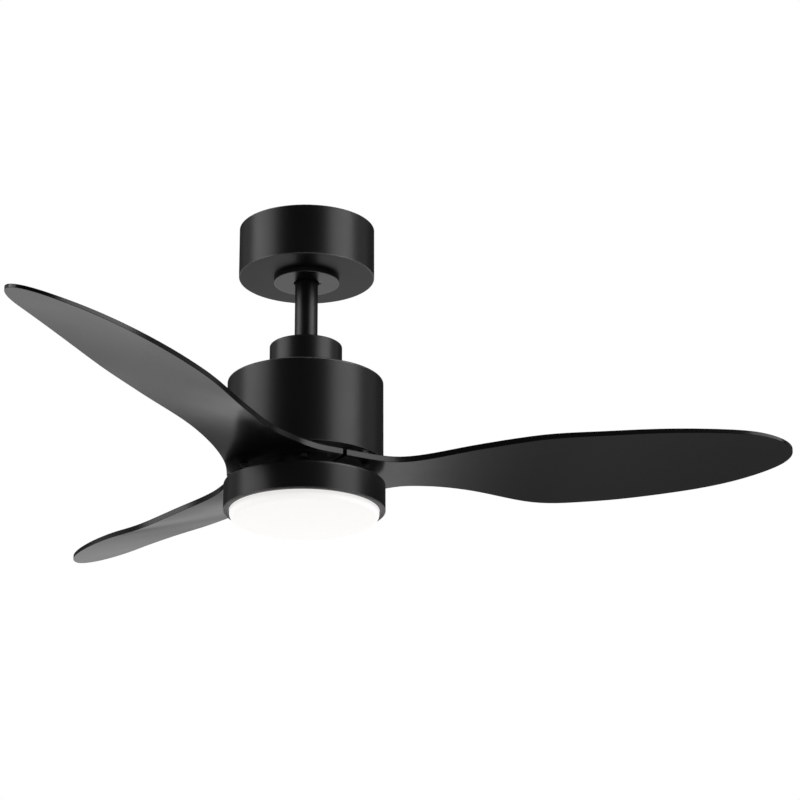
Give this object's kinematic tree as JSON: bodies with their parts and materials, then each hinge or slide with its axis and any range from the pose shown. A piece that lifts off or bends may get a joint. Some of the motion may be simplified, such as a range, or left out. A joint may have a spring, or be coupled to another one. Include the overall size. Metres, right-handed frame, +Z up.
{
  "type": "ceiling fan with light",
  "caption": "Black ceiling fan on a short rod, with twisted propeller blades below a drum motor housing and an opal disc light underneath.",
  "frame": {"origin": "centre of the ceiling face, on top of the hanger bracket", "axes": "+Z up, towards the ceiling; one blade lies along +X; the blades turn about Z, clockwise seen from above"},
  "size_m": [0.8229, 0.9297, 0.3399],
  "materials": {
    "black_metal": "satin",
    "black_plastic": "satin",
    "dark_plastic": "matte",
    "steel": "satin",
    "black_steel": "satin",
    "cast_aluminium": "matte",
    "laminations": "matte",
    "magnets": "matte",
    "copper": "gloss",
    "grey_rubber": "matte",
    "opal_plastic": "satin",
    "white_board": "matte",
    "lamp_yellow": "gloss"
  },
  "bodies": {
    "ceiling_mount": {"hanger_bracket": "steel", "canopy": "black_metal", "canopy_screws": "steel", "screw_cover": "black_plastic"},
    "stem": {"hanger_ball": "dark_plastic", "ball_pin": "steel", "ball_set_screw": "steel", "downrod": "black_metal", "yoke": "cast_aluminium", "clevis_pin": "steel", "cotter": "steel", "yoke_set_screws": "steel", "yoke_screws": "steel", "coupling_cover": "black_metal", "housing": "black_metal", "control_box": "dark_plastic", "motor_shaft": "steel", "stator_hub": "cast_aluminium", "stator_core": "laminations", "windings": "copper", "inner_races": "steel", "retaining_ring": "steel", "plate_nuts": "steel", "light_plate": "steel", "light_pan": "black_metal", "pan_screws": "steel", "trim_ring": "black_plastic", "diffuser": "opal_plastic", "board_posts": "cast_aluminium", "led_board": "white_board", "led_chips": "lamp_yellow", "led_driver": "dark_plastic"},
    "rotor": {"rotor_case": "cast_aluminium", "rotor_lid": "cast_aluminium", "rotor_screws": "steel", "magnet_ring": "magnets", "outer_races": "steel", "blade_gaskets": "grey_rubber", "blade_1": "black_plastic", "blade_2": "black_plastic", "blade_3": "black_plastic", "blade_screws": "black_steel"}
  },
  "joints": [
    {"name": "hanger_swing", "type": "hinge", "parent": "ceiling_mount", "child": "stem", "pos_m": [0, 0, -0.034], "axis": [0, 1, 0], "range_deg": [-2.5, 2.5]},
    {"name": "rotor_spin", "type": "hinge", "parent": "stem", "child": "rotor", "pos_m": [0, 0, -0.283], "axis": [0, 0, 1], "continuous": true}
  ]
}
